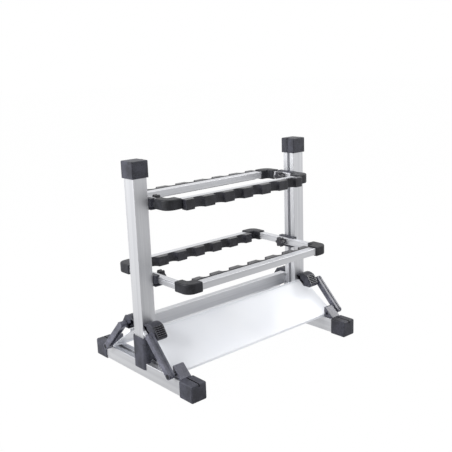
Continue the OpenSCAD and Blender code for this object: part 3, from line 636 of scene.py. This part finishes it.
def latchPart(anchor, low, high):
    # The latch's body with its ribbed pad, and which faces are crests and which are valleys
    look = braceShape
    body = laid(sweptSolid(latchOutline(), roundedEnds(low, high, look["latchEdge"])), "yzx", (0, *anchor))
    start, end = np.array(look["padLow"]), np.array(look["padHigh"])
    centre, radius = np.array(look["beakCentre"]), look["beakRadius"]
    straight = np.linalg.norm(end - start)
    side, margin, (columns, rows) = look["latchEdge"], look["padMargin"], look["padGrid"]
    wide, tall = high - low - 2 * side, straight - 2 * margin + look["padPast"]

    def ribs(u, v):
        # Rounded ribs along the pad, crossed by shallow notches: relief * (|sin| wave in v, notched in u),
        # between two plain rims
        along = np.abs(np.sin(np.pi * v / tall * look["ribs"])) ** look["ribPower"]
        nick = np.exp(-(np.sin(np.pi * u / wide * look["ribsAcross"]) / look["nickWidth"]) ** 2)
        across = 1 - look["nickDepth"] * nick
        rim = np.minimum(u, wide - u) < look["padRim"]
        return look["padRelief"] * np.where(rim, look["rimRise"], along * across)

    # The pad runs up the straight face and on over the beak's arc: past the straight, a length v turns
    # v / radius
    points, faces = reliefPad(wide, tall, ribs, 1.0, columns, rows)
    past = np.maximum(points[:, 1] + margin - straight, 0) / radius
    angle = atan2(*(end - centre)[::-1]) - past
    out = np.stack([np.cos(angle), np.sin(angle)], 1)
    up = (end - start) / straight
    flat = past == 0
    out[flat] = (-up[1], up[0])
    path = centre + radius * out
    path[flat] = start + up * (points[flat, 1:2] + margin)
    place = path + out * (points[:, 2:] - look["padSunk"]) + anchor
    placed = np.column_stack([points[:, 0] + low + side, place])
    # Faces high in the relief are crests; faces low in it are valleys, which take the near-black painted
    # shade
    level = points[np.array(faces[:(columns - 1) * (rows - 1)]), 2].mean(1) / look["padRelief"]
    first = len(body[1])
    crests = first + np.flatnonzero(level > look["crestFrom"])
    valleys = first + np.flatnonzero(level < look["valleyTo"])
    return joined([body, (placed, faces)]), crests, valleys


def blockPart(low, high, railTop):
    # Side view of a wedge that rises from its front lip to its top, sunk a little into the rail, swept
    # along X
    look = braceShape
    bottom, front, back = railTop - look["blockSunk"], low[1], high[1]
    points = [(front, bottom), (back, bottom), (back, high[2]), (back - look["blockTop"], high[2]),
              (front, railTop + look["blockLip"])]
    outline = roundedOutline(points, look["blockCorners"])
    return laid(sweptSolid(outline, roundedEnds(low[0], high[0], look["blockEdge"])), "yzx")


def makeBraces():
    look = braceShape
    low, high = nodeBox("latch_front_left")
    anchor = (low[1] + look["anchor"][0], high[2] + look["anchor"][1])
    latch, crests, valleys = latchPart(anchor, low[0], high[0])
    block = blockPart(*nodeBox("foot_block_front_left"), nodeBox("rail_left")[1][2])
    for corner, (right, rear) in corners.items():
        softened("braceBar_" + corner, "brace_bar_" + corner, slateAbs, "brace_" + corner,
                 look["barEdge"])
        # The rib valleys take the near-black painted shade, and the crests the glossier plastic
        makePiece("latch_" + corner + "_ribbed", mirrored(latch, right, rear), charcoalAbs, "latch_" + corner,
                  "black_plastic", "latch_" + corner, inlays=[(crests, thumbWornAbs), (valleys, recessShadeBlackAbs)])
        makePiece("footBlock_" + corner, mirrored(block, right, rear), slateAbs, "root", "black_plastic",
                  "foot_block_" + corner)
    print("braces, latches and foot blocks made")


# Frames: tubes, elbows, notched strips, slide brackets and knobs

frameShape = {
    "tubeCorner": 1.0, "tubeEnd": 0.3,
    "tubeGroove": (1.6, 3.0, 1.0), "grooveCorner": 0.25,       # below the top edge, width, depth
    "elbowRound": 19.0, "elbowEdge": 2.4, "sleeveCorner": 2.6, "elbowFillet": 5.0, "sleeveDeep": 25.9,
    "sleeveWide": 20.4, "sleeveReach": 43.0, "elbowGap": 0.1,
    "notches": 6, "pitch": 51.7, "notchRadius": 12.5, "notchCorner": 11.0, "tipCorner": 1.4,
    "stripDeep": 15.0, "stripEdge": 1.1, "stripBack": 0.5, "stripEnd": 2.5,
    "slideEdge": 0.5,
}


def boxTube(low, high, along, grooves=False):
    # A tube with small round corners, swept along one axis, with a groove in both sides if asked for
    across = [a for a in range(3) if a != along]
    half = (high - low)[across] / 2
    middle = (high + low) / 2
    below, wide, deep = frameShape["tubeGroove"]
    rightSide = [(half[0], half[1] - below - wide), (half[0] - deep, half[1] - below - wide),
                 (half[0] - deep, half[1] - below), (half[0], half[1] - below)] if grooves else []
    leftSide = [(-y, z) for y, z in rightSide[::-1]]
    y, z = half
    points = [(-y, -z), (y, -z), *rightSide, (y, z), (-y, z), *leftSide]
    pair, side = [frameShape["tubeCorner"]] * 2, [frameShape["grooveCorner"]] * len(rightSide)
    outline = roundedOutline(points, pair + side + pair + side, 4)
    part = sweptSolid(outline, roundedEnds(low[along], high[along], frameShape["tubeEnd"]))
    origin = middle.copy()
    origin[along] = 0
    return laid(part, "".join("xyz"[a] for a in across) + "xyz"[along], origin)


def elbowPart(boxLow, boxHigh, length, reach):
    # Plan of the front left elbow, its outer corner a wide arc, swept upwards with rounded edges
    look = frameShape
    x, y = boxLow[0], boxLow[1]
    wide, deep = look["sleeveWide"], look["sleeveDeep"]
    points = [(x, y), (x + length, y), (x + length, y + deep), (x + wide, y + deep), (x + wide, y + reach),
              (x, y + reach)]
    end = look["sleeveCorner"]
    outline = roundedOutline(points, [look["elbowRound"], end, end, look["elbowFillet"], end, end], 12)
    return sweptSolid(outline, roundedEnds(boxLow[2], boxHigh[2], look["elbowEdge"], 6))


def stripPart(low, high, tips):
    # Plan of a strip: its back is straight, and square notches as deep as half their width are cut in
    # from the tips' side, one pitch apart; their inner corners are arcs of nearly that depth, which makes
    # them round
    look = frameShape
    back = -look["stripDeep"]
    reach = look["notchRadius"]
    centres = (np.arange(look["notches"]) - (look["notches"] - 1) / 2) * look["pitch"]
    notch = np.array([(-reach, back), (-reach, back + reach), (reach, back + reach), (reach, back)])
    cut = (centres[:, None, None] * (1, 0) + notch[None]).reshape(-1, 2)
    points = np.concatenate([[(high[0], 0), (low[0], 0), (low[0], back)], cut, [(high[0], back)]])
    tip, deep, straight, end = look["tipCorner"], look["notchCorner"], look["stripBack"], look["stripEnd"]
    radii = [straight, straight, end] + [tip, deep, deep, tip] * look["notches"] + [end]
    outline = roundedOutline(points, radii, 8)
    points, faces = sweptSolid(outline, roundedEnds(low[2], high[2], look["stripEdge"]))
    return points * (1, tips, 1), faces


knobShape = {
    "lobes": 6, "radius": 12.0, "scallop": 1.5, "thick": 11.5, "edge": 2.4,
    "hub": 7.0, "hubLong": 3.7, "stud": 3.0, "roundEdge": 0.4,
    "domeRadius": 6.6, "dome": 1.4, "domeSunk": 0.5, "domeFoot": 2.0, "domeTip": 0.4,
}


def knobPart(level, studLow, hubLow):
    # Star radius = R - scallop (1 - cos(lobes a)), swept along X with round edges; a hub, a dome and the stud
    # join it. The dome is part of an ellipse: (R cos t, h sin t)
    look = knobShape
    angle = np.linspace(0, 2 * np.pi, 144, endpoint=False)
    radius = look["radius"] - look["scallop"] * (1 - np.cos(look["lobes"] * angle))
    star = radius[:, None] * np.stack([np.cos(angle), np.sin(angle)], 1)
    face = hubLow + look["hubLong"]
    front = face + look["thick"]
    head = sweptSolid(star, roundedEnds(face, front, look["edge"], 6))
    t = np.linspace(0, np.pi / 2, 8)[:-1]
    base, wide = front - look["domeSunk"], look["domeRadius"]
    dome = np.stack([wide * np.cos(t), base + look["dome"] * np.sin(t)], 1)
    path = [(wide, front - look["domeFoot"]), *dome.tolist(), (look["domeTip"], base + look["dome"])]
    button = turnedSolid(path)
    hub = sweptSolid(circleOutline(look["hub"]), roundedEnds(hubLow, face + 1, look["roundEdge"]))
    stud = sweptSolid(circleOutline(look["stud"]), roundedEnds(studLow, hubLow + 1, look["roundEdge"]))
    return joined([laid(part, "yzx", (0, 0, level)) for part in (head, button, hub, stud)])


def makeFrame(name):
    # Everything that slides with one frame, and its two knobs, which turn on bodies of their own
    look = frameShape
    body = name + "_frame"
    for end, rear in ends.items():
        rail = boxTube(*nodeBox(f"{name}_rail_{end}"), 0)
        makePiece(f"{name}Rail_{end}", rail, aluminium["X"], body, "aluminium", f"{name}_rail_{end}")
        railLow, railHigh = nodeBox(f"{name}_rail_{end}")
        low, high = nodeBox(f"{name}_strip_{end}")
        # A strip stands outside its rail or inside it, with its tips away from the rail
        outer = max if rear else min
        outwards = abs(outer(low[1], high[1])) > abs(outer(railLow[1], railHigh[1]))
        forwards = outwards != rear
        face = railLow[1] if forwards else railHigh[1]
        points, faces = stripPart(low, high, 1 if forwards else -1)
        makePiece(f"{name}Strip_{end}", (points + (0, face, 0), faces), softBlackAbs, body, "black_plastic",
                  f"{name}_strip_{end}")
    for side, right in sides.items():
        tube = boxTube(*nodeBox(f"{name}_end_{side}"), 1, grooves=True)
        makePiece(f"{name}EndTube_{side}", tube, aluminium["Y"], body, "aluminium", f"{name}_end_{side}")
        softened(f"{name}Slide_{side}", f"{name}_slide_{side}", charcoalAbs, body,
                 look["slideEdge"])
        low, high = nodeBox(f"{name}_knob_left")
        reach = high[0] - knobShape["thick"] - knobShape["hubLong"] - knobShape["dome"]
        knob = mirrored(knobPart((low[2] + high[2]) / 2, low[0], reach), right)
        makePiece(f"{name}Knob_{side}", knob, softBlackAbs, f"{name}_knob_{side}", "black_plastic",
                  f"{name}_knob_{side}")
    low, high = nodeBox(f"{name}_elbows")
    length = -low[0] - nodeBox(f"{name}_strip_front")[1][0] - look["elbowGap"]
    elbow = elbowPart(low, high, length, look["sleeveReach"])
    quad = joined([mirrored(elbow, right, rear) for right, rear in corners.values()])
    makePiece(f"{name}Elbows", quad, deepBlackAbs, body, "black_plastic", f"{name}_elbows")
    print(name, "frame made")


makeProfiles()
makeCaps()
makeBase()
makeBraces()
makeFrame("lower")
makeFrame("upper")

for node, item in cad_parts.items():
    if not item.hide_render:
        item.data.materials.clear()
        item.data.materials.append(blackSteel if node == "brace_pins" else zincSteel)
print("screws, nuts and pins plated")


# Floor, world, lamps and camera

studio = {
    "floorSize": 30.0, "floorDrop": 0.0003,                     # metres
    "floorTone": "#F2F2F2", "floorGlow": 0.993,                 # share of the camera's view of it that glows
    "fill": 0.70,                                               # share of the room's tone that lights it
    "eyeHeight": 0.3, "aimHeight": 0.2,
    "room": {"middle": 0.84, "x": 0.13, "y": 0.19, "z": 0.10},  # reflected tone, and its rise along each axis
    "key": {"energy": 66, "size": 1.2, "shadow": True, "place": (-2.3, 0.5, 1.3)},
    "front": {"energy": 9, "size": 0.7, "shadow": False, "place": (1.2, -0.5, 1.0)},
}


def roomTone(tree, direction):
    # Tone of the room in a direction: middle + x, y and z parts of the direction, each times its own rise
    room = studio["room"]
    rise = addNode(tree, "ShaderNodeVectorMath",
                   {"operation": "DOT_PRODUCT", 1: (room["x"], room["y"], room["z"])}, {0: direction})
    return addNode(tree, "ShaderNodeMath", {"operation": "ADD", 1: room["middle"]},
                   {0: rise.outputs["Value"]})


def makeFloor():
    # Floor that looks white to the camera, shows a trace of the rack's shadow, and reflects like the room
    s, z = studio["floorSize"] / 2, -studio["floorDrop"]
    mesh = bpy.data.meshes.new("floor")
    mesh.from_pydata([(-s, -s, z), (s, -s, z), (s, s, z), (-s, s, z)], [], [(0, 1, 2, 3)])
    floor = bpy.data.objects.new("floor", mesh)
    bpy.context.scene.collection.objects.link(floor)
    material, tree = emptyMaterial("paleStudioFloor")
    rays = addNode(tree, "ShaderNodeLightPath")
    place = addNode(tree, "ShaderNodeTexCoord").outputs["Object"]
    middle = addNode(tree, "ShaderNodeVectorMath", {"operation": "SUBTRACT", 1: (0, 0, studio["eyeHeight"])},
                     {0: place})
    outwards = addNode(tree, "ShaderNodeVectorMath", {"operation": "NORMALIZE"},
                       {0: middle.outputs["Vector"]})
    tone = roomTone(tree, outwards.outputs["Vector"])
    seen = addNode(tree, "ShaderNodeMath", {"operation": "MULTIPLY", 1: studio["floorGlow"]},
                   {0: rays.outputs["Is Camera Ray"]})
    share = addNode(tree, "ShaderNodeMath", {"operation": "MAXIMUM"},
                    {0: seen.outputs[0], 1: rays.outputs["Is Glossy Ray"]})
    strength = addNode(tree, "ShaderNodeMix", {"data_type": "FLOAT", 3: 1.0},
                       {0: rays.outputs["Is Camera Ray"], 2: tone.outputs[0]})
    matte = addNode(tree, "ShaderNodeBsdfDiffuse", {"Color": linearColour(studio["floorTone"])})
    glow = addNode(tree, "ShaderNodeEmission", {"Color": (1, 1, 1, 1)}, {"Strength": strength.outputs[0]})
    mix = addNode(tree, "ShaderNodeMixShader",
                  links={0: share.outputs[0], 1: matte.outputs[0], 2: glow.outputs[0]})
    addNode(tree, "ShaderNodeOutputMaterial", links={"Surface": mix.outputs[0]})
    mesh.materials.append(material)


def makeWorld():
    # Pale room: white to the camera, its own tone in reflections, and a dimmer light on everything else
    world = bpy.data.worlds.new("paleStudio")
    world.use_nodes = True
    tree = world.node_tree
    tree.nodes.clear()
    rays = addNode(tree, "ShaderNodeLightPath")
    tone = roomTone(tree, addNode(tree, "ShaderNodeTexCoord").outputs["Generated"])
    share = addNode(tree, "ShaderNodeMapRange", {"To Min": studio["fill"], "To Max": 1.0},
                    {"Value": rays.outputs["Is Glossy Ray"]})
    lit = addNode(tree, "ShaderNodeMath", {"operation": "MULTIPLY"},
                  {0: tone.outputs[0], 1: share.outputs[0]})
    strength = addNode(tree, "ShaderNodeMix", {"data_type": "FLOAT", 3: 1.0},
                       {0: rays.outputs["Is Camera Ray"], 2: lit.outputs[0]})
    shade = addNode(tree, "ShaderNodeBackground", {"Color": (1, 1, 1, 1)}, {"Strength": strength.outputs[0]})
    addNode(tree, "ShaderNodeOutputWorld", links={"Surface": shade.outputs[0]})
    bpy.context.scene.world = world


def makeLamp(name):
    # A square lamp that looks at the rack's middle
    setting = studio[name]
    lamp = bpy.data.lights.new(name, "AREA")
    lamp.energy, lamp.size, lamp.use_shadow = setting["energy"], setting["size"], setting["shadow"]
    holder = bpy.data.objects.new(name, lamp)
    holder.location = setting["place"]
    aim = Matrix.Identity(3)
    back = np.array(setting["place"]) - (0, 0, studio["aimHeight"])
    back /= np.linalg.norm(back)
    across = np.cross((0, 0, 1), back)
    across /= np.linalg.norm(across)
    aim.col[0], aim.col[1], aim.col[2] = across, np.cross(back, across), back
    holder.rotation_euler = aim.to_euler()
    bpy.context.scene.collection.objects.link(holder)


viewer = {"azimuth": -41.035, "elevation": 13.508, "roll": -2.055, "lens": 55.29, "sensor": 36.0,
          "place": (-0.9588, -1.1086, 0.6251)}


def makeCamera():
    # Azimuth turns the view about Z, elevation lifts it, and roll tips it about its own line of sight
    a, e, r = (radians(viewer[k]) for k in ("azimuth", "elevation", "roll"))
    back = np.array([sin(a) * cos(e), -cos(a) * cos(e), sin(e)])
    right = np.array([cos(a), sin(a), 0])
    up = np.cross(back, right)
    turn = Matrix.Identity(4)
    turn.col[0][:3] = right * cos(r) + up * sin(r)
    turn.col[1][:3] = -right * sin(r) + up * cos(r)
    turn.col[2][:3] = back
    turn.col[3][:3] = viewer["place"]
    lens = bpy.data.cameras.new("viewer")
    lens.lens, lens.sensor_width = viewer["lens"], viewer["sensor"]
    lens.clip_end = 100
    camera = bpy.data.objects.new("viewer", lens)
    camera.matrix_world = turn
    bpy.context.scene.collection.objects.link(camera)
    bpy.context.scene.camera = camera


makeFloor()
makeWorld()
makeLamp("key")
makeLamp("front")
makeCamera()
bpy.context.scene.view_settings.view_transform = "Standard"
print("floor, world, lamps and camera made")
